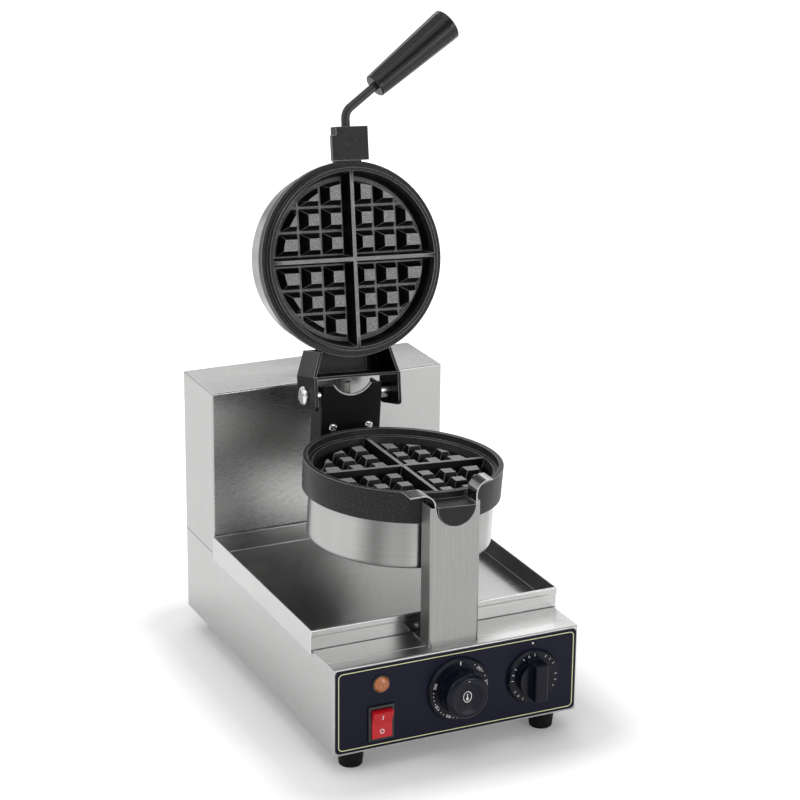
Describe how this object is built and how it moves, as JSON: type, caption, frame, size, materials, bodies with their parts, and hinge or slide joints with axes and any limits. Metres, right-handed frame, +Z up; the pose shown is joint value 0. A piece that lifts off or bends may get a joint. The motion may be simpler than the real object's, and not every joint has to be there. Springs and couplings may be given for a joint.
{
  "type": "rotary waffle baker",
  "caption": "Counter-top rotary waffle baker: hinged deep-grid round pans on a turning axle between a rear tower and a front saddle post, over a drip tray and control base",
  "frame": {"origin": "on the floor, in the machine's centre plane, midway between its front knob face and the cable gland's end", "axes": "+Z up, user side at -Y, +X to the user's right"},
  "size_m": [0.2693, 0.424, 0.634],
  "materials": {
    "brushed_steel": "brushed stainless sheet",
    "cast_grid": "cast aluminium with grained black non-stick coat",
    "black_bracket": "satin black paint on folded steel",
    "zinc": "bright zinc plate",
    "fascia": "black printed fascia",
    "knob_black": "black moulded knob",
    "grip_black": "black bakelite grip",
    "rod_black": "black painted steel rod",
    "lamp_amber": "amber lamp lens",
    "switch_black": "black switch housing",
    "switch_red": "red rocker",
    "rubber": "black rubber",
    "bronze": "sintered bronze",
    "shaft_steel": "turned steel",
    "element": "oxidised element sheath",
    "inner_plastic": "pale moulded insulator"
  },
  "bodies": {
    "stand": {"base_housing": "brushed_steel", "bottom_plate": "brushed_steel", "tower_housing": "brushed_steel", "tower_back_cover": "brushed_steel", "cover_tabs": "brushed_steel", "front_post": "brushed_steel", "saddle_strip": "brushed_steel", "cover_screws": "zinc", "post_screws": "zinc", "bearing_screws": "zinc", "control_panel": "fascia", "lamp_lens": "lamp_amber", "switch_housing": "switch_black", "lamp_body": "switch_black", "foot_front_left": "rubber", "foot_front_right": "rubber", "foot_rear_left": "rubber", "foot_rear_right": "rubber", "bearing_bush": "bronze", "bearing_housing": "shaft_steel", "thermostat_body": "inner_plastic", "timer_body": "inner_plastic", "terminal_block": "inner_plastic", "cable_gland": "inner_plastic"},
    "head": {"rotor_shaft": "shaft_steel", "shaft_collar": "shaft_steel", "lower_bracket": "black_bracket", "bracket_screws": "zinc", "hinge_screws": "zinc", "hinge_spacers": "zinc", "hinge_nuts": "zinc", "wire_sleeve": "inner_plastic", "lower_pan": "cast_grid", "lower_shroud": "brushed_steel", "lower_element": "element", "lower_element_clamp": "element"},
    "lid": {"upper_pan": "cast_grid", "upper_shroud": "brushed_steel", "upper_element": "element", "upper_element_clamp": "element", "lid_bracket": "black_bracket", "lid_screws": "zinc", "handle_rod": "rod_black", "handle_grip": "grip_black"},
    "temperature_dial": {"temperature_knob": "knob_black", "temperature_knob_cap": "knob_black", "thermostat_spindle": "shaft_steel"},
    "timer_dial": {"timer_knob": "knob_black", "timer_spindle": "shaft_steel"},
    "rocker": {"rocker_button": "switch_red"},
    "tray": {"drip_tray": "brushed_steel"}
  },
  "joints": [
    {"name": "head_rotation", "type": "hinge", "parent": "stand", "child": "head", "pos_m": [0, -0.0641, 0.2427], "axis": [0, 1, 0], "range_deg": [-42, 36]},
    {"name": "lid_hinge", "type": "hinge", "parent": "head", "child": "lid", "pos_m": [0.00166, 0.0676, 0.27446], "axis": [0.9986, 0, -0.0523], "range_deg": [0, 103.5]},
    {"name": "temperature_turn", "type": "hinge", "parent": "stand", "child": "temperature_dial", "pos_m": [0, -0.198, 0.0655], "axis": [0, 1, 0], "range_deg": [0, 270]},
    {"name": "timer_turn", "type": "hinge", "parent": "stand", "child": "timer_dial", "pos_m": [0.077, -0.198, 0.064], "axis": [0, 1, 0], "range_deg": [0, 300]},
    {"name": "rocker_tip", "type": "hinge", "parent": "stand", "child": "rocker", "pos_m": [-0.0783, -0.189, 0.047], "axis": [1, 0, 0], "range_deg": [-16, 0]},
    {"name": "tray_lift", "type": "slide", "parent": "stand", "child": "tray", "axis": [0, 0, 1], "range_m": [0, 0.015]}
  ]
}
